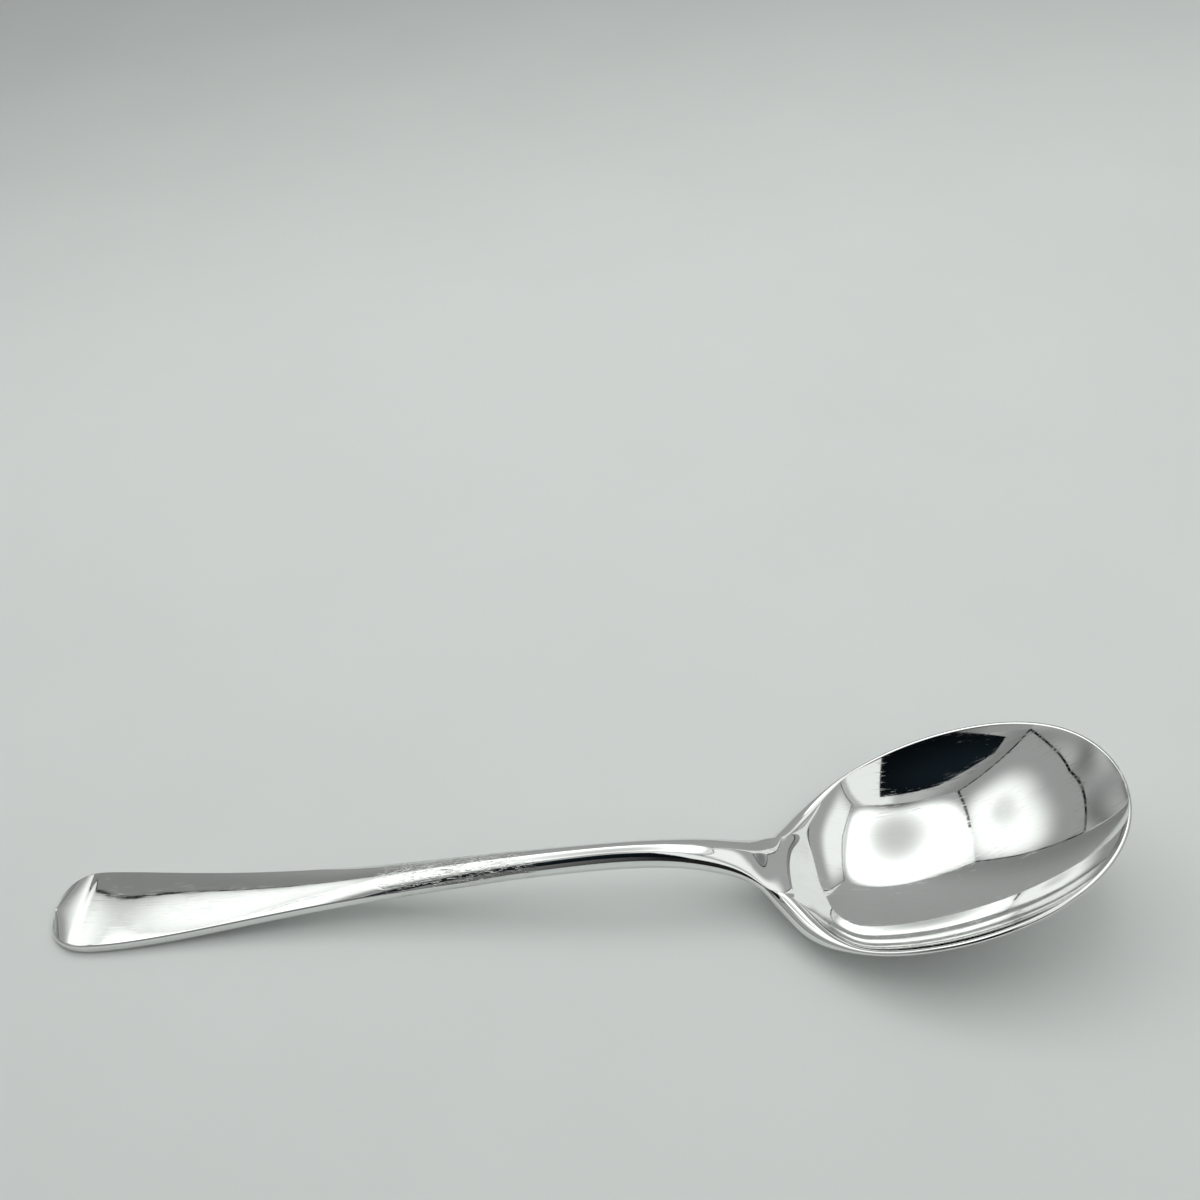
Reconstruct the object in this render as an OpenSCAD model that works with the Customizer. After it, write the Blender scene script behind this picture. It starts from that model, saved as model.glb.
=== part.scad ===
// Soup spoon with a wide oval bowl, a slim arched stem and a flat rounded handle end.
// It lies face up, as on a table. X runs from the handle end to the bowl tip, Y is the
// width and Z is up. The origin is the middle of the length, on the table.

/* [Overall] */
// length from the handle end to the bowl tip
overall_l = 191.7; // [170:1:220]
// length of the bowl, from the neck to the tip
bowl_l = 59.1; // [52:1:66]
// width of the bowl over its rim
bowl_w = 46.4; // [40:1:52]
// height of the rim at the bowl tip
tip_h = 24.2; // [22:0.5:27]
// height of the stem's widest line at the top of its arch
arch_h = 11.75; // [10:0.5:14]

/* [Handle] */
// width of the rounded handle end
end_w = 17.5; // [14:0.5:21]
// height of the handle end's sides
end_t = 1.7; // [1.4:0.1:2.2]
// length of the rounding at the handle end
end_round_l = 9; // [7:0.5:11]
// width of the stem where it is narrowest
stem_w = 5; // [4.2:0.2:6]
// thickness of the stem under its arch
stem_t = 5; // [4.2:0.1:5.4]
// width of the eased edge between the handle's face and its sides
edge_w = 0.3; // [0.2:0.05:0.4]

/* [Bowl] */
// depth of the hollow, straight down from the rim at its middle
bowl_d = 10.8; // [9:0.2:11.4]
// thickness of the bowl's floor
wall_t = 1.6; // [1.3:0.1:1.8]
// width of the flat on top of the rim
rim_w = 1.2; // [0.9:0.1:1.5]
// height of the upright edge that runs around the spoon under its face and rim
edge_h = 0.4; // [0.3:0.05:0.5]

/* [Joint] */
// thickness of the soldered seam between the stem and the bowl
seam_t = 0.3; // [0.2:0.05:0.4]
// length of the tongue under the bowl's heel
drop_l = 12.4; // [9:0.5:13]
// thickness of the tongue where it meets the seam
drop_t = 1.25; // [1:0.05:1.4]

/* [Hidden] */
handle_l = overall_l - bowl_l;
bowl_mid_x = handle_l + bowl_l * 0.51;
heel_half_l = bowl_mid_x - handle_l;
tip_half_l = overall_l - bowl_mid_x;
outline_power = 2.12;
end_power = 2.5;
hollow_power = 2.4;

// places along the handle and along the bowl, as shares of each one's length
function along_handle(shares) = [for (share = shares) handle_l * share];
function along_bowl(shares) = [for (share = shares) handle_l + bowl_l * share];

// the line of the face edge, the stem's widest points and the rim, seen from the side
edge_xs = concat(
    along_handle([0, 0.06, 0.12, 0.21, 0.3, 0.44, 0.57, 0.72, 0.845, 0.92, 0.98]),
    along_bowl([0.075, 0.19, 0.34, 0.51, 0.715, 0.88, 1]));
handle_rise_shares = [0.1, 0.163, 0.187, 0.26, 0.375, 0.58, 0.77, 0.935, 1, 0.9, 0.7];
rim_rise_shares = [0.265, 0.31, 0.442, 0.6, 0.785, 0.922, 1];
edge_zs = concat(arch_h * handle_rise_shares, tip_h * rim_rise_shares);

// the handle from above: how far it flares from the stem's width to the end's width
flare_xs = along_handle([0, 0.075, 0.166, 0.3, 0.44, 0.59, 0.77, 0.86, 0.92]);
flare_shares = [1, 1, 0.82, 0.47, 0.216, 0.08, 0, 0.024, 0.128];

// the neck from above: how it widens from the stem to the shoulders beside the heel
neck_start_x = handle_l * 0.92;
neck_end_x = handle_l + bowl_l * 0.1;
neck_xs = concat(
    along_handle([0.9, 0.92, 0.94, 0.96, 0.98]),
    along_bowl([0, 0.02, 0.04, 0.07, 0.1, 0.12]));
neck_shares = [0.156, 0.181, 0.23, 0.34, 0.406, 0.474, 0.56];

// the crown of the upper face over the edge line, which turns into the hollow of the bowl
crown_xs = concat(
    along_handle([0, 0.15, 0.45, 0.63, 0.845, 0.92, 0.98]),
    along_bowl([0.032, 0.09, 0.16, 0.227, 0.36, 0.51]));
crown_shares = [0.09, 0.124, 0.21, 0.39, 0.48, 0.47, 0.22];
hollow_shares = [0.13, 0.31, 0.49, 0.655, 0.9, 1];
crown_zs = concat(stem_t * crown_shares, -bowl_d * hollow_shares);

// the bowl's under side below the edge line, without the tongue
belly_d = bowl_d + wall_t;
belly_xs = concat(along_handle([0.97]), along_bowl([0.032, 0.09, 0.14, 0.227, 0.36, 0.51]));
belly_shares = [0.185, 0.285, 0.39, 0.475, 0.69, 0.925, 1];
belly_zs = belly_d * belly_shares;

// the handle's under side below the edge line, down to the bowl and tongue at the seam
under_xs = along_handle([0, 0.045, 0.15, 0.3, 0.45, 0.63, 0.845, 0.92, 0.97]);
end_under_shares = [0.93, 1.14, 1.01, 1.03, 1.2];
stem_under_shares = [0.49, 0.52, 0.55];
under_zs = concat(end_t * end_under_shares, stem_t * stem_under_shares, [belly_zs[0] + drop_t]);

// the seam, and how far the heel and the tongue reach
seam_x = handle_l * 0.967;
bowl_x = seam_x + seam_t;
drop_end_x = bowl_x + drop_l;
heel_end_x = handle_l + bowl_l * 0.19;

// columns of the skins from side to side, on each side of the middle
handle_cols = 10;
bowl_cols = 15;
drop_cols = 6;
drop_side_angle = 80;
drop_end_angle = 88.5;
even_angle = 90 - 90 * drop_cols / bowl_cols;

function lerp(a, b, t) = a + (b - a) * t;
function ease(t) = let (c = max(0, min(1, t))) c * c * (3 - 2 * c);
function places(from, to, count) = [for (i = [1:count]) lerp(from, to, i / count)];

// a smooth line through points that stand at uneven places
function chord(xs, ys, i) = (ys[i + 1] - ys[i]) / (xs[i + 1] - xs[i]);
function inner_slope(xs, ys, i) =
    let (before = xs[i] - xs[i - 1], after = xs[i + 1] - xs[i])
    (chord(xs, ys, i - 1) * after + chord(xs, ys, i) * before) / (before + after);
function slope(xs, ys, i) =
    let (last = len(xs) - 1)
    i == 0 ? (3 * chord(xs, ys, 0) - inner_slope(xs, ys, 1)) / 2
    : i == last ? (3 * chord(xs, ys, last - 1) - inner_slope(xs, ys, last - 1)) / 2
    : inner_slope(xs, ys, i);
function span(xs, x, i = 0) = i >= len(xs) - 2 || x < xs[i + 1] ? i : span(xs, x, i + 1);
function hermite(y0, y1, m0, m1, h, t) =
    (1 - 3 * t * t + 2 * t * t * t) * y0
    + (t - 2 * t * t + t * t * t) * h * m0
    + (3 * t * t - 2 * t * t * t) * y1
    + (t * t * t - t * t) * h * m1;
function line(xs, ys, x) =
    let (i = span(xs, x), h = xs[i + 1] - xs[i])
    hermite(ys[i], ys[i + 1], slope(xs, ys, i), slope(xs, ys, i + 1), h, (x - xs[i]) / h);

// from above: rounded end, flared handle, filleted neck and oval bowl
function bowl_reach(x) =
    x > bowl_mid_x ? (x - bowl_mid_x) / tip_half_l : (bowl_mid_x - x) / heel_half_l;
function bowl_half_w(x) =
    bowl_w / 2 * pow(max(0, 1 - pow(bowl_reach(x), outline_power)), 1 / outline_power);
function end_rounding(x) =
    x < end_round_l ? pow(1 - pow(1 - x / end_round_l, end_power), 1 / end_power) : 1;
function handle_half_w(x) =
    lerp(stem_w, end_w, line(flare_xs, flare_shares, x)) / 2 * end_rounding(x);
neck_ws = concat(
    [handle_half_w(neck_xs[0]), handle_half_w(neck_xs[1])],
    bowl_w / 2 * neck_shares,
    [bowl_half_w(neck_xs[9]), bowl_half_w(neck_xs[10])]);
function neck_half_w(x) = line(neck_xs, neck_ws, x);
function half_w(x) =
    x < neck_start_x ? handle_half_w(x)
    : x < neck_end_x ? neck_half_w(x)
    : bowl_half_w(x);

// from the side: edge line, crown or hollow over it, and under sides below it
function edge_z(x) = line(edge_xs, edge_zs, x);
function crown_z(x) =
    x < bowl_mid_x ? line(crown_xs, crown_zs, x)
    : -bowl_d * (1 - pow(bowl_reach(x), hollow_power));
function handle_under_z(x) = line(under_xs, under_zs, x);
function belly_z(x) =
    x < bowl_mid_x ? line(belly_xs, belly_zs, x)
    : belly_d * (1 - pow(bowl_reach(x), hollow_power));

// the sections change from flat with crisp edges to oval, and then to a dish
function oval(x) = ease((x / handle_l - 0.2) / 0.5);
function dish(x) = ease((x - seam_x) / (heel_end_x - seam_x));
function crown_power(x) = lerp(2, hollow_power, dish(x));
function crown_curve(x) = lerp(lerp(1, 0.5, oval(x)), 1, dish(x));
function under_power(x) = lerp(lerp(8, 2, oval(x)), hollow_power, dish(x));
function under_curve(x) = lerp(lerp(0.125, 0.5, oval(x)), 1, dish(x));

// the upper face lies inside the outline by the width of the eased edge or of the rim
function face_inset(x) = lerp(edge_w, rim_w, dish(x));
function outline_slant(x) = (half_w(x + edge_w) - half_w(x)) / edge_w;
function face_x(x) =
    x < end_round_l ? x + edge_w * pow(1 - x / end_round_l, 2)
    : x > bowl_mid_x ? x - rim_w * bowl_reach(x)
    : x;
function face_half_w(x) =
    x < end_round_l ? half_w(x) - min(edge_w, half_w(x) / 3)
    : x > bowl_mid_x ? half_w(x) * (1 - 2 * rim_w / bowl_w)
    : half_w(x) - face_inset(x) * norm([1, outline_slant(x)]);

// points of one section; angles run from the far side to the near side
function section_share(angle, power, curve) = pow(max(0, 1 - pow(abs(cos(angle)), power)), curve);
function face_point(x, angle) =
    let (px = face_x(x), share = section_share(angle, crown_power(x), crown_curve(x)))
    [px, face_half_w(x) * cos(angle), edge_z(px) + crown_z(x) * share];
function edge_point(x, side) = [x, side * half_w(x), edge_z(x)];
function under_point(x, angle, deep) =
    let (share = section_share(angle, under_power(x), under_curve(x)))
    [x, half_w(x) * cos(angle), max(0, edge_z(x) - edge_h - (deep - edge_h) * share)];

// the tongue's side follows one column of the bowl's skin
function drop_reach(x) = max(0, min(1, (x - bowl_x) / drop_l));
function drop_half_w(x) =
    half_w(bowl_x) * sin(drop_side_angle) * sqrt(1 - pow(drop_reach(x), 3));
function drop_angle(x) =
    x < drop_end_x ? min(drop_end_angle, acos(min(1, drop_half_w(x) / half_w(x))))
    : lerp(drop_end_angle, even_angle, ease((x - drop_end_x) / drop_l));
function column_angle(x, k) =
    let (side = sign(k - bowl_cols), away = abs(k - bowl_cols), edge = drop_angle(x))
    90 + side * (away <= drop_cols
        ? (90 - edge) * away / drop_cols
        : 90 - edge * (bowl_cols - away) / (bowl_cols - drop_cols));
function belly_point(x, k) = under_point(x, column_angle(x, k), belly_z(x));
function drop_depth(x, k) =
    drop_t * lerp(1, 0.65, drop_reach(x)) * cos(drop_side_angle * (k - bowl_cols) / drop_cols);
function drop_point(x, k) = belly_point(x, k) - [0, 0, drop_depth(x, k)];

// one ring: the lower points from the far to the near side, then the upper ones back
function ring(lower, upper) = concat(lower, [for (k = [len(upper) - 1:-1:0]) upper[k]]);
function face_line(x, cols) = concat(
    [edge_point(x, 1)],
    [for (k = [0:2 * cols - 2]) face_point(x, 180 * k / (2 * cols - 2))],
    [edge_point(x, -1)]);
function handle_ring(x) = ring(
    [for (k = [0:2 * handle_cols]) under_point(x, 180 * k / (2 * handle_cols), handle_under_z(x))],
    face_line(x, handle_cols));
function bowl_ring(x) = ring(
    [for (k = [0:2 * bowl_cols]) belly_point(x, k)],
    face_line(x, bowl_cols));
function drop_ring(x) = ring(
    [for (k = [bowl_cols - drop_cols:bowl_cols + drop_cols]) drop_point(x, k)],
    [for (k = [bowl_cols - drop_cols:bowl_cols + drop_cols]) belly_point(x, k)]);

// a closed skin over rings of equal length, with a strip across each end
function from_mid(j, n) = abs(min(j, n - 1 - j) - (n / 2 - 1) / 2);
function side_faces(n, a, j) =
    let (next = (j + 1) % n, b = a - j + next)
    from_mid(j, n) < from_mid(next, n) ? [[a, b, b + n], [a, b + n, a + n]]
    : [[a, b, a + n], [b, b + n, a + n]];
function cap_faces(n, first, flip) =
    [for (k = [0:n / 2 - 2])
        let (quad = [first + k, first + n - 1 - k, first + n - 2 - k, first + k + 1])
        for (tri = [[quad[0], quad[1], quad[2]], [quad[0], quad[2], quad[3]]])
            flip ? [tri[2], tri[1], tri[0]] : tri];
module skin(rings) {
    n = len(rings[0]);
    last = len(rings) - 1;
    polyhedron(
        points = [for (r = rings) each r],
        faces = concat(
            [for (i = [0:last - 1], j = [0:n - 1]) each side_faces(n, i * n + j, j)],
            cap_faces(n, 0, false),
            cap_faces(n, last * n, true)));
}

end_places = [for (a = places(1.5, 90, 12)) end_round_l * (1 - pow(max(0, cos(a)), 0.8))];
handle_places = concat(
    [end_round_l * (1 - pow(cos(1.5), 0.8))],
    end_places,
    places(end_round_l, neck_start_x, 34),
    places(neck_start_x, seam_x, 4));
drop_places = concat([bowl_x], places(bowl_x, drop_end_x, 12));
bowl_places = concat(
    drop_places,
    places(drop_end_x, bowl_mid_x, 14),
    [for (a = places(0, 89.7, 20)) bowl_mid_x + tip_half_l * sin(a)]);

// slim stem that flattens and flares into the rounded end
module handle() {
    color([0.78, 0.79, 0.8])
        skin([for (x = handle_places) handle_ring(x)]);
}

// thin layer of solder across the neck
module solder_seam() {
    color([0.7, 0.71, 0.72])
        skin([for (x = [seam_x, bowl_x]) handle_ring(x)]);
}

// dished shell with a flat rim and a thick heel
module bowl() {
    color([0.8, 0.81, 0.82])
        skin([for (x = bowl_places) bowl_ring(x)]);
}

// rounded tongue that laps under the heel of the bowl
module heel_drop() {
    color([0.76, 0.77, 0.78])
        skin([for (x = drop_places) drop_ring(x)]);
}

translate([-overall_l / 2, 0, 0]) handle();
translate([-overall_l / 2, 0, 0]) solder_seam();
translate([-overall_l / 2, 0, 0]) bowl();
translate([-overall_l / 2, 0, 0]) heel_drop();
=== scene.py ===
"""A soup spoon in polished silver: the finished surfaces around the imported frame.

Lengths in the sizes and lines below are millimetres, with x from the handle end to the bowl tip,
as on a maker's drawing. place() turns a drawing point into the frame's metres.
"""

import math
from bisect import bisect

import bmesh
import bpy
import numpy as np
from mathutils import Matrix, Vector


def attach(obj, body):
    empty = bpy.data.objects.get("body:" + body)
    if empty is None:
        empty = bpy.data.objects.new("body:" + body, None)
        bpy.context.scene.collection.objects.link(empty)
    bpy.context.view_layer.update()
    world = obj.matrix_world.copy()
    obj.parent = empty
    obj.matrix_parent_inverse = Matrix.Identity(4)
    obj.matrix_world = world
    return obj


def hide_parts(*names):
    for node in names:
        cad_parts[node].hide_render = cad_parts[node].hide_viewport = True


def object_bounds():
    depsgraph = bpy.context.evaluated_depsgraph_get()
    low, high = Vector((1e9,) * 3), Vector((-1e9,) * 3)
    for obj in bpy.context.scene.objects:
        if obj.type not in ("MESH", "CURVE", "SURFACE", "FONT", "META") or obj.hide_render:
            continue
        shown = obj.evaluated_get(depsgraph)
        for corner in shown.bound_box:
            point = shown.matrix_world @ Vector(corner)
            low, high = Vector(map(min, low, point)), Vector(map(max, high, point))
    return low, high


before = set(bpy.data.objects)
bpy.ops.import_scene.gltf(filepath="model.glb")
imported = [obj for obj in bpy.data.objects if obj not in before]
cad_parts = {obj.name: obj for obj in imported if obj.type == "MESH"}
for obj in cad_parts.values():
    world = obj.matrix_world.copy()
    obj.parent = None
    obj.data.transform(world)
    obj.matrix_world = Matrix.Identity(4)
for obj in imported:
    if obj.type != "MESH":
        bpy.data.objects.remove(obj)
cad_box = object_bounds()

MM = 0.001
low, high = (Vector(corner) for corner in cad_box)

# Driving sizes; the overall ones come from the frame, less a hair to stay inside it
width_hair = 0.01
height_hair = 0.005
overall_l = (high.x - low.x) / MM
bowl_w = (high.y - low.y) / MM - width_hair
tip_h = high.z / MM - height_hair
bowl_l = 59.1
handle_l = overall_l - bowl_l
end_round_l = 9.0
end_power = 2.55
rim_r = 0.48
edge_r = 0.45
shoulder_r = 1.4
crease_x = 5.9
crease_half_l = 0.5
crease_slant = 0.6
crease_d = 0.022
worn_shift = 0.55
worn_l = 14
lean_slope = 0.034
lean_x = 30
lean_run_l = 70
seam_share = 0.967
seam_x = handle_l * seam_share
seam_t = 0.3
bowl_x = seam_x + seam_t
drop_l = 12.4
drop_t = 1.0
drop_lap_t = 0.25
drop_root_w_share = 0.78
drop_root_t_share = 0.1
drop_rise_share = 0.3
drop_tip_t_share = 0.65
drop_end_x = bowl_x + drop_l

# Where one form turns into the next, and the length that the turn takes
stem_share = 0.16
stem_run_share = 0.58
neck_x = 108
neck_run_l = 8
shoulder_x = 124
shoulder_run_l = 7
dish_x = 127
dish_run_l = 17
shoulder_fall_x = 133
shoulder_fall_l = 15
stem_under_end_x = 134
heel_run_l = 5.5
bowl_outline_x = 139
bowl_outline_run_l = 6
neck_end_x = 148

# The bowl seen from above is a slightly full ellipse
bowl_half_l = bowl_l / 2
bowl_centre_x = overall_l - bowl_half_l
fullness_share = 0.085
lean_share = 0.02


def lerp(a, b, t):
    return a + (b - a) * t


def ease(t):
    t = min(max(t, 0.0), 1.0)
    return t * t * t * (t * (6 * t - 15) + 10)


def spread(start, stop, count):
    return [lerp(start, stop, i / count) for i in range(count + 1)]


def fair_line(points):
    """A natural cubic spline through (x, value) points, whose bend changes evenly."""
    xs, ys = zip(*points)
    count = len(xs)
    gaps = np.diff(xs)
    rises = np.diff(ys) / gaps
    system = np.eye(count)
    target = np.zeros(count)
    for i in range(1, count - 1):
        system[i, i - 1 : i + 2] = gaps[i - 1], 2 * (gaps[i - 1] + gaps[i]), gaps[i]
        target[i] = 6 * (rises[i] - rises[i - 1])
    bends = [float(b) for b in np.linalg.solve(system, target)]

    def at(x):
        i = min(max(bisect(xs, x) - 1, 0), count - 2)
        h = xs[i + 1] - xs[i]
        a = (xs[i + 1] - x) / h
        b = (x - xs[i]) / h
        bend = (a**3 - a) * bends[i] + (b**3 - b) * bends[i + 1]
        return a * ys[i] + b * ys[i + 1] + bend * h * h / 6

    return at


# The line of the face edge, the stem's widest points and the rim, seen from the side
edge_z = fair_line(
    [
        (-10, -2.2),
        (0, 1),
        (2, 1.36),
        (4, 1.66),
        (5.6, 1.84),
        (7, 1.9),
        (9, 1.97),
        (16, 2.22),
        (28, 3.06),
        (40, 4.42),
        (58, 6.8),
        (76, 9.08),
        (96, 11.03),
        (112, 11.78),
        (118, 11.35),
        (122, 10.65),
        (126, 9.6),
        (129, 8.55),
        (132, 7.3),
        (135, 6.5),
        (138, 6.35),
        (144, 7.5),
        (153, 10.8),
        (163, 14.63),
        (175, 19.03),
        (185, 22.43),
        (overall_l, tip_h),
        (200, 25.9),
    ]
)

# The crown of the upper face over that line, which turns into the hollow of the bowl
crown_z = fair_line(
    [
        (-10, 0.25),
        (0, 0.3),
        (20, 0.36),
        (40, 0.62),
        (60, 1.05),
        (84, 1.95),
        (108, 2.4),
        (119, 2.4),
        (124, 2.3),
        (127, 1.95),
        (130, 1.1),
        (134.5, -1.3),
        (138, -3.3),
        (142, -5.5),
        (148, -8.15),
        (155, -10.15),
        (163, -10.8),
        (170, -10.32),
        (177.2, -8.7),
        (184.5, -5.5),
        (overall_l, 0),
        (198, 7),
    ]
)

# The under side of the handle below that line, down to the bowl and its tongue at the seam
under_z = fair_line(
    [
        (-10, -1.2),
        (0, 0.75),
        (2.5, 1.3),
        (6, 1.9),
        (10, 2),
        (20, 2.05),
        (40, 1.95),
        (60, 2.15),
        (84, 2.4),
        (108, 2.45),
        (120, 2.5),
        (128.2, 3.4),
        (134, 5.2),
    ]
)

# The under side of the bowl below that line, without the tongue
belly_z = fair_line(
    [
        (120, 1.3),
        (128.2, 2.5),
        (131, 3.15),
        (134.5, 3.85),
        (138, 4.9),
        (142, 6.4),
        (148, 9.3),
        (155, 11.45),
        (163, 12.4),
        (170, 11.85),
        (177.2, 10.0),
        (184.5, 6.35),
        (overall_l, 0.5),
        (198, -8),
    ]
)

# Half the width of the handle before its end is rounded
flare_w = fair_line(
    [
        (-10, 8.6),
        (0, 8.75),
        (10, 8.74),
        (22, 7.62),
        (40, 5.44),
        (58, 3.85),
        (78, 3.0),
        (100, 2.5),
        (112, 2.6),
        (121, 3.2),
        (126, 3.85),
    ]
)


def handle_half_w(x):
    if x >= end_round_l:
        return flare_w(x)
    rounding = 1 - max(0.0, 1 - x / end_round_l) ** end_power
    return flare_w(x) * max(0.0, rounding) ** (1 / end_power)


def bowl_half_w(x):
    r = (x - bowl_centre_x) / bowl_half_l
    full = 1 + fullness_share * r * r + lean_share * r
    return bowl_w / 2 * math.sqrt(max(0.0, 1 - r * r)) * full


# Half the width of the neck, from the round stem to the shoulders of the bowl
neck_w = fair_line(
    [
        (108, 2.5),
        (112, 2.58),
        (116, 2.78),
        (120, 3.12),
        (124, 3.55),
        (127, 4.1),
        (129.5, 5.15),
        (131.5, 6.7),
        (133, 8.45),
        (134.5, 10.4),
        (136, 12.3),
        (138.5, 14.8),
        (141, 16.8),
        (144, 18.67),
        (148, 20.57),
    ]
)


def half_w(x):
    """Half the width in the plan: the handle, the neck and the bowl, each faired into the next."""
    if x < neck_x:
        return handle_half_w(x)
    if x < neck_x + neck_run_l:
        return lerp(handle_half_w(x), neck_w(x), ease((x - neck_x) / neck_run_l))
    if x < bowl_outline_x:
        return neck_w(x)
    to_bowl = ease((x - bowl_outline_x) / bowl_outline_run_l)
    return lerp(neck_w(min(x, neck_end_x)), bowl_half_w(x), to_bowl)


def outline_normal(x):
    """The direction in the plan, at the left outline, that points into the spoon."""
    step = 0.01
    rise = half_w(min(x + step, overall_l)) - half_w(max(x - step, 0.0))
    if half_w(x) < step:
        return (1.0 if x < bowl_x else -1.0), 0.0
    length = math.hypot(rise, 2 * step)
    return rise / length, -2 * step / length


def lean(x):
    """How much the flat end is rolled away from the near side, as the hammer left it."""
    return lean_slope * (1 - ease((x - lean_x) / lean_run_l))


def worn_side(x):
    """How far the rounding of the end is shifted away from its worn near side."""
    return worn_shift * max(0.0, 1 - x / worn_l) ** 2


# The sections: a crisp flat end, a round stem, and a dish
def stem_turn(x):
    """How far the flat end has turned into the round stem."""
    return ease((x / handle_l - stem_share) / stem_run_share)


def dish_turn(x):
    """How far the neck has turned into the dish of the bowl."""
    return ease((x - dish_x) / dish_run_l)


def shoulder(x):
    """Where the stem's round sides run on as thick shoulders beside the heel of the bowl."""
    rise = ease((x - shoulder_x) / shoulder_run_l)
    return rise * (1 - ease((x - shoulder_fall_x) / shoulder_fall_l))


def under_turn(x):
    """How far the under side has turned from the stem's round form to the bowl's open one."""
    return 1 - (1 - dish_turn(x)) * (1 - shoulder(x))


def edge_radius(x):
    return lerp(edge_r, rim_r, dish_turn(x)) + shoulder_r * shoulder(x)


# How finely the skins are drawn: points around a ring, rings along a piece, and the short step
# that keeps the edges at the seam crisp
UNDER_COLS = 56
FACE_COLS = 64
ARC_COLS = 8
END_ROWS = 64
END_PACKING = 0.8
STEM_ROWS = 150
BOWL_ROWS = 90
TONGUE_ROWS = 40
TONGUE_COLS = 40
SEAM_STEP = 0.02

# Points closer than this, in metres, are welded, and thinner faces are dissolved
WELD_GAP = 2e-8
THIN_GAP = 1e-8

# How full the sections are: the hollow, and the dome and under side of the flat end and the stem.
# Where the end runs out to nothing, the face's slope is taken over a least half width.
HOLLOW_BEND = 0.7
END_DOME = 0.02
STEM_DOME = 0.985
END_UNDER_POWER = 9
STEM_UNDER_POWER = 2
OPEN_EDGE_ANGLE = math.radians(38)
LEAST_SLOPE_W = 0.5
TONGUE_FIRST_ANGLE = 2
TONGUE_SIDE_ANGLE = math.radians(80)


def hollow_share(s):
    return 1 - HOLLOW_BEND * s * s - (1 - HOLLOW_BEND) * s**4


def dome_bend(x):
    """How much of a half circle the face's dome is, and how high that circle stands at its edge."""
    bend = lerp(END_DOME, STEM_DOME, stem_turn(x))
    return bend, math.sqrt(1 - bend)


def face_share(s, x):
    bend, rest = dome_bend(x)
    dome = (math.sqrt(max(0.0, 1 - bend * s * s)) - rest) / (1 - rest)
    return lerp(dome, hollow_share(s), dish_turn(x))


def face_fall(x):
    """How steeply face_share falls at the face's edge."""
    bend, rest = dome_bend(x)
    dome = bend / rest / (1 - rest)
    return lerp(dome, 2 * HOLLOW_BEND + 4 * (1 - HOLLOW_BEND), dish_turn(x))


def bottom_z(x):
    """How deep the under side lies below the edge line, tongue left out."""
    if x <= bowl_x:
        return under_z(x)
    to_belly = ease((x - bowl_x) / heel_run_l)
    return lerp(under_z(min(x, stem_under_end_x)), belly_z(x), to_belly)


def under_share(s, x):
    power = lerp(END_UNDER_POWER, STEM_UNDER_POWER, stem_turn(x))
    round_side = max(0.0, 1 - s**power) ** (1 / power)
    return lerp(round_side, hollow_share(s), under_turn(x))


def crease(s, x):
    """The depth of the faint bend across the face near the end, which runs out at the edges."""
    off = (x - crease_x - crease_slant * s) / crease_half_l
    return crease_d * math.exp(-(off**2)) * (1 - s**8)


def station(x):
    """One ring of drawing points: under side, near edge, face, far edge."""
    w = half_w(x)
    into_x, into_y = outline_normal(x)
    radius = edge_radius(x)
    roll = lean(x)
    slope = crown_z(x) * face_fall(x) / max(w, LEAST_SLOPE_W)
    face_angle = math.pi / 2 - math.atan(slope)
    under_angle = -under_turn(x) * OPEN_EDGE_ANGLE
    centre_z = edge_z(x) - radius * math.sin(min(face_angle, math.pi / 2))

    def edge_point(angle, side):
        inset = radius * (1 - math.cos(angle))
        y = max(0.0, w + into_y * inset)
        z = centre_z + radius * math.sin(angle) - roll * side * y
        return x + into_x * inset, side * y, z

    def arc(side, start, stop):
        return [edge_point(angle, side) for angle in spread(start, stop, ARC_COLS)]

    under_x, under_w, under_edge_z = edge_point(under_angle, 1)
    under_top = under_edge_z + roll * under_w
    depth = under_top - (edge_z(x) - bottom_z(x))
    under = []
    for i in range(1, UNDER_COLS):
        s = math.cos(math.pi * i / UNDER_COLS)
        top = under_top - roll * under_w * s / 2
        under.append((under_x, under_w * s, max(0.0, top - depth * under_share(abs(s), x))))
    face_x, face_w, face_edge_z = edge_point(face_angle, 1)
    face_top = face_edge_z + roll * face_w
    face = []
    for i in range(1, FACE_COLS):
        s = -math.cos(math.pi * i / FACE_COLS)
        z = face_top + crown_z(x) * face_share(abs(s), x) - roll * face_w * s
        face.append((face_x, face_w * s, z - crease(s, face_x)))
    near = arc(-1, under_angle, face_angle)
    far = arc(1, face_angle, under_angle)
    shift = worn_side(x)
    return [(px, py + shift, pz) for px, py, pz in under + near + face + far]


def place(point):
    x, y, z = point
    return Vector((low.x + x * MM, y * MM, z * MM))


def new_piece(name, bm):
    mesh = bpy.data.meshes.new(name)
    bm.to_mesh(mesh)
    bm.free()
    piece = bpy.data.objects.new(name, mesh)
    bpy.context.scene.collection.objects.link(piece)
    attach(piece, "root")
    return piece


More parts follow.
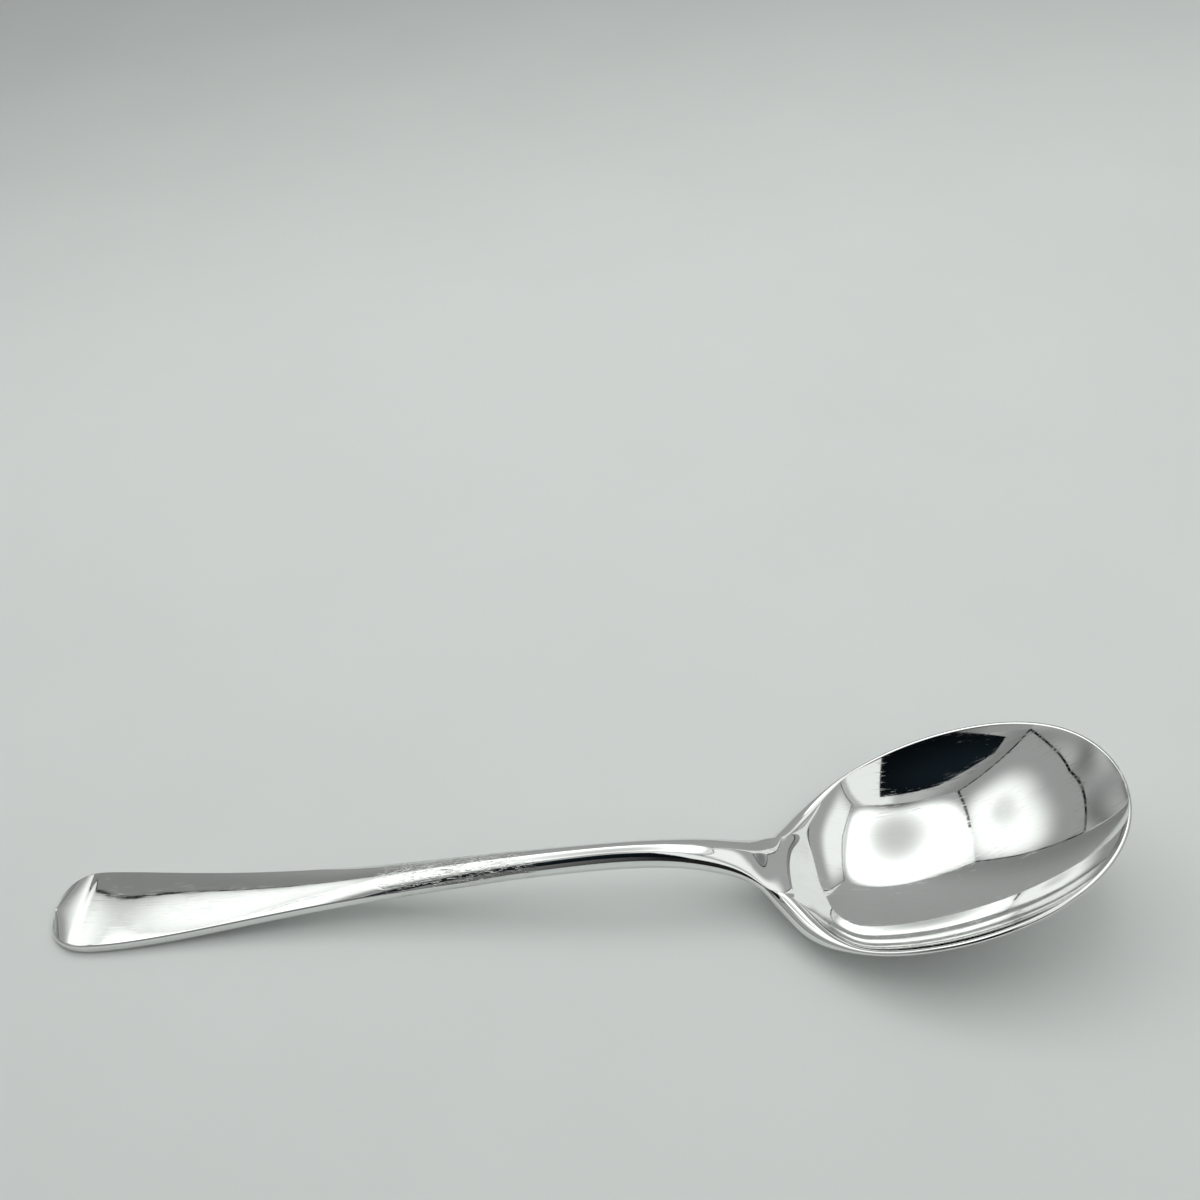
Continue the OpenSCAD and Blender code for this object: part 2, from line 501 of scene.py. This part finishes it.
def skin(name, rings):
    """A closed skin over rings of drawing points: a grid that is rolled up, welded and capped."""
    bm = bmesh.new()
    rows, cols = len(rings), len(rings[0])
    bmesh.ops.create_grid(bm, x_segments=cols, y_segments=rows - 1, size=1.0)
    bm.verts.ensure_lookup_table()
    for i, vert in enumerate(bm.verts):
        row, col = divmod(i, cols + 1)
        vert.co = place(rings[row][col % cols])
    bmesh.ops.remove_doubles(bm, verts=bm.verts, dist=WELD_GAP)
    bmesh.ops.dissolve_degenerate(bm, edges=bm.edges, dist=THIN_GAP)
    rims = [edge for edge in bm.edges if edge.is_boundary]
    if rims:
        caps = bmesh.ops.holes_fill(bm, edges=rims, sides=0)["faces"]
        for edge in rims:
            edge.smooth = False
        bmesh.ops.triangulate(bm, faces=caps)
    bmesh.ops.recalc_face_normals(bm, faces=bm.faces)
    for face in bm.faces:
        face.smooth = True
    return new_piece(name, bm)


def rings_at(places):
    return [station(x) for x in places]


def make_handle():
    end_places = [
        end_round_l * (1 - math.cos(math.radians(a)) ** END_PACKING) for a in spread(0, 90, END_ROWS)
    ]
    stem_places = spread(end_round_l, seam_x - SEAM_STEP, STEM_ROWS)[1:]
    return skin("stem_and_end", rings_at(end_places + stem_places + [seam_x]))


def make_seam():
    places = [seam_x, seam_x + SEAM_STEP, seam_x + seam_t / 2, bowl_x - SEAM_STEP, bowl_x]
    return skin("neck_solder", rings_at(places))


def make_bowl():
    tip_l = overall_l - bowl_centre_x
    heel_places = spread(bowl_x + SEAM_STEP, bowl_centre_x, BOWL_ROWS)
    tip_places = [
        bowl_centre_x + tip_l * math.sin(math.radians(a)) for a in spread(0, 90, BOWL_ROWS)
    ]
    return skin("raised_bowl", rings_at([bowl_x] + heel_places + tip_places[1:]))


def belly_point(x, y):
    """The height of the bowl's under side."""
    s = min(1.0, abs(y) / half_w(x))
    top = edge_z(x) - edge_radius(x)
    return top - (top - (edge_z(x) - bottom_z(x))) * under_share(s, x)


def make_tongue():
    """The tongue that laps under the heel: it swells below the belly and reaches up into it."""
    root_w = half_w(bowl_x) * drop_root_w_share
    places = [
        lerp(bowl_x, drop_end_x, math.sin(math.radians(a)))
        for a in spread(TONGUE_FIRST_ANGLE, 90, TONGUE_ROWS)
    ]
    rings = []
    for x in [bowl_x, bowl_x + SEAM_STEP] + places:
        reach = (x - bowl_x) / drop_l
        width = root_w * math.sqrt(max(0.0, 1 - reach**3))
        side_angle = math.asin(min(1.0, width / half_w(x)))
        root_fade = lerp(drop_root_t_share, 1, ease(reach / drop_rise_share))
        thick = drop_t * root_fade * lerp(1, drop_tip_t_share, reach)
        lower, upper = [], []
        for t in spread(-1, 1, TONGUE_COLS):
            y = half_w(x) * math.sin(side_angle * t)
            z = belly_point(x, y)
            lower.append((x, y, z - thick * math.cos(TONGUE_SIDE_ANGLE * t)))
            upper.append((x, y, z + drop_lap_t))
        rings.append(lower + upper[::-1])
    return skin("heel_tongue", rings)


# Materials; their lengths are metres


class Finish:
    """A material in the making, and the steps that the finishes here are mixed from."""

    def __init__(self, name):
        self.material = bpy.data.materials.new(name)
        self.material.use_nodes = True
        self.nodes = self.material.node_tree.nodes
        self.links = self.material.node_tree.links
        self.shader = self.nodes["Principled BSDF"]
        self.place_on = self.nodes.new("ShaderNodeTexCoord").outputs["Object"]

    def moved(self, shift=(0, 0, 0), turn=0, scale=(1, 1, 1)):
        """The place on the piece, shifted, turned about z by degrees, and scaled."""
        step = self.nodes.new("ShaderNodeMapping")
        step.inputs["Location"].default_value = shift
        step.inputs["Rotation"].default_value = (0, 0, math.radians(turn))
        step.inputs["Scale"].default_value = scale
        self.links.new(self.place_on, step.inputs["Vector"])
        return step.outputs["Vector"]

    def axis(self, name, place):
        step = self.nodes.new("ShaderNodeSeparateXYZ")
        self.links.new(place, step.inputs[0])
        return step.outputs[name]

    def cloud(self, place, scale, detail, roughness=0.5):
        texture = self.nodes.new("ShaderNodeTexNoise")
        texture.inputs["Scale"].default_value = scale
        texture.inputs["Detail"].default_value = detail
        texture.inputs["Roughness"].default_value = roughness
        self.links.new(place, texture.inputs["Vector"])
        return texture.outputs["Fac"]

    def between(self, value, low_in, high_in, low_out, high_out, kind="SMOOTHSTEP"):
        step = self.nodes.new("ShaderNodeMapRange")
        step.interpolation_type = kind
        for socket, number in (
            ("From Min", low_in),
            ("From Max", high_in),
            ("To Min", low_out),
            ("To Max", high_out),
        ):
            step.inputs[socket].default_value = number
        self.links.new(value, step.inputs["Value"])
        return step.outputs["Result"]

    def combine(self, operation, first, second):
        """Two values put together; each is a node's output or a plain number."""
        step = self.nodes.new("ShaderNodeMath")
        step.operation = operation
        for i, value in enumerate((first, second)):
            if isinstance(value, float):
                step.inputs[i].default_value = value
            else:
                self.links.new(value, step.inputs[i])
        return step.outputs[0]

    def relief(self, height, distance, under=None):
        bump = self.nodes.new("ShaderNodeBump")
        bump.inputs["Strength"].default_value = 1.0
        bump.inputs["Distance"].default_value = distance
        self.links.new(height, bump.inputs["Height"])
        if under:
            self.links.new(under, bump.inputs["Normal"])
        return bump.outputs["Normal"]

    def colour(self, share, first, second):
        """The base colour: the first where the share is 0, the second where it is 1."""
        mix = self.nodes.new("ShaderNodeMix")
        mix.data_type = "RGBA"
        self.links.new(share, mix.inputs["Factor"])
        mix.inputs["A"].default_value = (*first, 1)
        mix.inputs["B"].default_value = (*second, 1)
        self.links.new(mix.outputs["Result"], self.shader.inputs["Base Color"])


# Clean silver, the share of its tone that grime leaves, and how gently the worn stretch fades
SILVER_TONE = (0.83, 0.835, 0.825)
GRIME_SHARES = (0.5, 0.46, 0.42)
WORN_FADE = 0.008


def silver(name, roughness, waves, scratches, worn=None):
    """Polished silver: slow hammer waves, hairline scratches and rubbed patches.

    waves is the height of the slow waves. A scratch set holds its turn in degrees, its lines'
    length, width and depth in metres, the level of the cloud above which they show, and whether
    they lie on the worn stretch alone. worn is that stretch in drawing places, where use has
    dulled the shine.
    """
    finish = Finish(name)
    finish.shader.inputs["Metallic"].default_value = 1.0
    place_on = finish.place_on

    def hairlines(turn, length, width, level, seed):
        """Thin lines where a stretched cloud passes a high level."""
        scale = (1 / length, 1 / width, 1 / length)
        stretched = finish.moved((seed, seed * 2, seed), turn, scale)
        return finish.between(finish.cloud(stretched, 1, 1), level, level + 0.08, 0, 1)

    normal = finish.relief(finish.cloud(place_on, 140, 1.5), waves)
    patches = finish.cloud(place_on, 260, 4, 0.6)
    rubbed = finish.between(patches, 0.42, 0.75, 0.25, 1)
    dull = finish.between(patches, 0.35, 0.8, roughness, roughness * 2.6)
    grime = finish.between(finish.cloud(place_on, 75, 3, 0.6), 0.4, 0.85, 0, 0.09)
    if worn:
        start, stop = (low.x + x * MM for x in worn)
        along_x = finish.axis("X", place_on)
        rise = finish.between(along_x, start, start + WORN_FADE, 0, 1)
        fall = finish.between(along_x, stop - WORN_FADE, stop, 1, 0)
        used = finish.combine("MULTIPLY", rise, fall)
        dull = finish.combine("ADD", dull, finish.combine("MULTIPLY", used, 0.06))
        grime = finish.combine("ADD", grime, finish.combine("MULTIPLY", used, 0.1))
    for seed, (turn, length, width, depth, level, on_worn) in enumerate(scratches, start=1):
        lines = finish.combine("MULTIPLY", hairlines(turn, length, width, level, seed), rubbed)
        if on_worn:
            lines = finish.combine("MULTIPLY", lines, used)
        normal = finish.relief(finish.combine("MULTIPLY", lines, -1.0), depth, normal)
        dull = finish.combine("ADD", dull, finish.combine("MULTIPLY", lines, 0.12))
        grime = finish.combine("ADD", grime, finish.combine("MULTIPLY", lines, 0.22))
    finish.links.new(dull, finish.shader.inputs["Roughness"])
    finish.links.new(normal, finish.shader.inputs["Normal"])
    grime_tone = [tone * share for tone, share in zip(SILVER_TONE, GRIME_SHARES)]
    finish.colour(grime, SILVER_TONE, grime_tone)
    return finish.material


def paper(name, tint):
    """Pale paper with a faint mottle, and painted shade that darkens it towards its far edge, where
    less light falls.
    """
    finish = Finish(name)
    finish.shader.inputs["Roughness"].default_value = 0.9
    away = finish.axis("Y", finish.moved(turn=-16))
    # Painted shade: the colour darkens towards the far edge, standing in for the light falling off
    # there.
    painted_far_shade = finish.between(away, 0.17, 0.5, 0, 0.62)
    mottle = finish.cloud(finish.place_on, 22, 5)
    amount = finish.between(mottle, 0.3, 0.7, 0, 0.035, kind="LINEAR")
    finish.colour(finish.combine("ADD", painted_far_shade, amount), tint, [value * 0.4 for value in tint])
    return finish.material


def fabric(name, tint):
    """Light tent cloth lit from behind: it shines by the glow stored on its points."""
    material = bpy.data.materials.new(name)
    material.use_nodes = True
    nodes, links = material.node_tree.nodes, material.node_tree.links
    nodes.clear()
    stored = nodes.new("ShaderNodeAttribute")
    stored.attribute_name = "glow"
    shine = nodes.new("ShaderNodeEmission")
    shine.inputs["Color"].default_value = (*tint, 1)
    out = nodes.new("ShaderNodeOutputMaterial")
    links.new(stored.outputs["Fac"], shine.inputs["Strength"])
    links.new(shine.outputs["Emission"], out.inputs["Surface"])
    return material


handle_silver = silver(
    "polished_handle_silver",
    0.035,
    9e-6,
    [
        (4, 0.009, 0.00016, 2.5e-6, 0.65, False),
        (-38, 0.003, 0.00016, 3e-6, 0.67, False),
        (27, 0.004, 0.00015, 3e-6, 0.67, False),
        (62, 0.0024, 0.00026, 4.5e-5, 0.54, True),
        (-70, 0.0018, 0.00026, 4.5e-5, 0.57, True),
    ],
    worn=(60, 92),
)
bowl_silver = silver(
    "polished_bowl_silver",
    0.025,
    7e-6,
    [
        (20, 0.007, 0.00016, 2e-6, 0.66, False),
        (-52, 0.004, 0.00016, 2.5e-6, 0.67, False),
        (80, 0.003, 0.00015, 2.5e-6, 0.67, False),
    ],
)

handle = make_handle()
seam = make_seam()
bowl = make_bowl()
tongue = make_tongue()
for piece, node, slot, finish in (
    (handle, "handle", "handle_silver", handle_silver),
    (seam, "solder_seam", "silver_solder", handle_silver),
    (bowl, "bowl", "bowl_silver", bowl_silver),
    (tongue, "heel_drop", "handle_silver", handle_silver),
):
    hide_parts(node)
    piece.data.materials.append(finish)


# Floor, light and camera
FLOOR_R = 3.0


def make_floor():
    bm = bmesh.new()
    bmesh.ops.create_circle(bm, cap_ends=True, segments=96, radius=FLOOR_R)
    mesh = bpy.data.meshes.new("floor")
    bm.to_mesh(mesh)
    bm.free()
    floor = bpy.data.objects.new("floor", mesh)
    bpy.context.scene.collection.objects.link(floor)
    mesh.materials.append(paper("pale_floor", (0.85, 0.87, 0.86)))


def along(points, t):
    """The point at a share t of a bent line through evenly counted points."""
    reach = t * (len(points) - 1)
    i = min(int(reach), len(points) - 2)
    return Vector(points[i]).lerp(Vector(points[i + 1]), reach - i)


def sheet(name, lower, upper, glow, material, cols=32):
    """A card between two bent lines; glow(u, v) runs from 0 to 1 along and across them."""
    bm = bmesh.new()
    bmesh.ops.create_grid(bm, x_segments=cols, y_segments=cols, size=1.0)
    layer = bm.verts.layers.float.new("glow")
    for vert in bm.verts:
        u, v = (vert.co.x + 1) / 2, (vert.co.y + 1) / 2
        vert[layer] = glow(u, v)
        vert.co = along(lower, u).lerp(along(upper, u), v) * MM
    mesh = bpy.data.meshes.new(name)
    bm.to_mesh(mesh)
    bm.free()
    card = bpy.data.objects.new(name, mesh)
    bpy.context.scene.collection.objects.link(card)
    mesh.materials.append(material)
    card.visible_camera = False


def spot(u, v, mid_u, mid_v, half_u, half_v, power, soft):
    """1 inside a rounded rectangle, 0 outside it, with a soft edge."""
    far = (abs((u - mid_u) / half_u) ** power + abs((v - mid_v) / half_v) ** power) ** (1 / power)
    return 1 - ease((far - 1 + soft / 2) / soft)


# The light tent in millimetres of the frame: the edges of its roof, the sewn lines that run low
# around its walls, and the opening that the camera looks through
ROOF_H = 600
roof_front = [(-347, -175, ROOF_H), (-95, -241, ROOF_H), (157, -305, ROOF_H)]
roof_back = [(-415, 563, ROOF_H), (-64, 500, ROOF_H), (288, 438, ROOF_H)]
roof_left = [roof_front[0], (-373, 193, ROOF_H), roof_back[0]]
roof_right = [roof_front[2], (257, 37, ROOF_H), roof_back[2]]
left_line = [(-314, -213, 205), (-338, 103, 209), (-492, 618, 168)]
right_line = [(326, -320, 168), (426, 37, 168), (431, 386, 168)]
back_line = [left_line[2], right_line[2]]
front_line = [left_line[0], right_line[0]]
opening_sill = [(-226, -197, 268), (-206, -203, 205), (44, -250, 120)]
opening_top = [(-222, -199, 288), (-181, -206, 431), (-5, -252, 453)]


# How brightly each sheet glows; u runs from 0 to 1 along it and v across it
def roof_glow(u, v):
    lit = spot(u, v, 0.5, 0.52, 0.46, 0.46, 4, 0.4)
    dim = spot(u, v, 0.48, 0.38, 0.26, 0.32, 2, 1.8)
    corner = spot(u, v, 0.02, 0.75, 0.16, 0.36, 2, 1.0)
    return 0.4 + lit * 1.6 - dim * 1.3 + corner * 0.7 * (1 - lit)


def left_glow(u, v):
    lit = spot(u, v, 0.58, 0.64, 0.4, 0.38, 3, 0.8)
    dim = spot(u, v, 0.47, 0.55, 0.12, 0.12, 2, 1.6)
    return 0.36 + lit * 0.9 - dim * 0.35


def right_glow(u, v):
    return 0.4 + spot(u, v, 0.48, 0.75, 0.42, 0.42, 3, 0.8) * 0.65


def back_glow(u, v):
    return 0.22 + 0.13 * ease(u * 2.5) + 0.05 * v


def front_glow(u, v):
    return 0.26 + 0.26 * ease(u * 2.6) + 0.45 * spot(u, v, 0.68, 0.6, 0.16, 0.9, 4, 0.6)


def front_skirt_glow(u, v):
    return 0.34 - 0.325 * spot(u, v, 0.62, 0.5, 0.34, 2.0, 6, 0.25)


def skirt_glow(u, v):
    fold = math.sin(9 * v + 3 * math.sin(6 * u)) * math.sin(7 * u + 2 * v)
    return 0.34 + 0.13 * fold


def no_glow(u, v):
    return 0.0


def opening_glow(u, v):
    return 0.004 + 0.012 * spot(u, v, 0.5, 0.5, 0.4, 0.4, 2, 1.4)


def to_floor(line):
    return [(x, y, 0) for x, y, z in line]


SPOON_MIDDLE = Vector((0, 0, 8))
SEAM_LIFT_SHARE = 0.01


def seam_strip(name, line, width, last_width):
    """A dark sewn edge of the tent, turned towards the spoon and just in front of the cloth."""
    lower, upper = [], []
    for i, point in enumerate(line):
        point = Vector(point).lerp(SPOON_MIDDLE, SEAM_LIFT_SHARE)
        run = Vector(line[min(i + 1, len(line) - 1)]) - Vector(line[max(i - 1, 0)])
        reach = i / (len(line) - 1)
        turned = run.cross(SPOON_MIDDLE - point).normalized()
        side = turned * (lerp(width, last_width, reach) / 2)
        lower.append(point - side)
        upper.append(point + side)
    sheet(name, lower, upper, no_glow, dark_seam, cols=8)


cloth = fabric("tent_cloth", (0.97, 1.0, 0.985))
dark_seam = fabric("tent_seam", (1, 1, 1))
dark_room = fabric("dark_room", (0.45, 0.75, 1.0))
make_floor()
sheet("tent_roof", roof_front, roof_back, roof_glow, cloth)
sheet("tent_left", left_line, roof_left, left_glow, cloth)
sheet("tent_right", right_line, roof_right, right_glow, cloth)
sheet("tent_back", to_floor(back_line), [roof_back[0], roof_back[2]], back_glow, cloth)
sheet("tent_front", front_line, [roof_front[0], roof_front[2]], front_glow, cloth)
sheet("tent_front_skirt", to_floor(front_line), front_line, front_skirt_glow, cloth, cols=4)
sheet("tent_left_skirt", to_floor(left_line), left_line, skirt_glow, cloth, cols=48)
sheet("tent_right_skirt", to_floor(right_line), right_line, skirt_glow, cloth, cols=48)
sheet("camera_opening", opening_sill, opening_top, opening_glow, dark_room, cols=8)
for name, line, width, last_width in (
    ("roof_left_seam", roof_left[:2], 9, 9),
    ("roof_right_seam", roof_right, 7, 7),
    ("back_left_seam", [left_line[2], roof_back[0]], 11, 8),
    ("back_right_seam", [right_line[2], roof_back[2]], 5, 5),
    ("front_left_seam", [left_line[0], roof_front[0]], 7, 7),
    ("front_right_seam", [right_line[0], roof_front[2]], 9, 9),
    ("left_low_seam", left_line, 7, 5),
    ("right_low_seam", right_line[1:], 8, 6),
):
    seam_strip(name, line, width, last_width)

scene = bpy.context.scene
world = bpy.data.worlds.new("studio")
world.use_nodes = True
background = world.node_tree.nodes["Background"]
background.inputs["Color"].default_value = (0.6, 0.62, 0.61, 1)
background.inputs["Strength"].default_value = 1.4
scene.world = world

# The camera's place in metres, and the directions to the right and the top of its picture
camera_place = (0.0285, -0.18795, 0.24357)
camera_right = Vector((0.99647, 0.01862, -0.08178))
camera_up = Vector((0.04781, 0.67488, 0.73636))
camera_back = camera_right.cross(camera_up)
turn = Matrix((camera_right, camera_up, camera_back)).transposed()
camera_data = bpy.data.cameras.new("camera")
camera_data.lens = 50.49
camera_data.sensor_width = 36.0
camera_data.clip_start = 0.01
camera = bpy.data.objects.new("camera", camera_data)
camera.matrix_world = Matrix.Translation(camera_place) @ turn.to_4x4()
scene.collection.objects.link(camera)
scene.camera = camera
scene.view_settings.view_transform = "Standard"
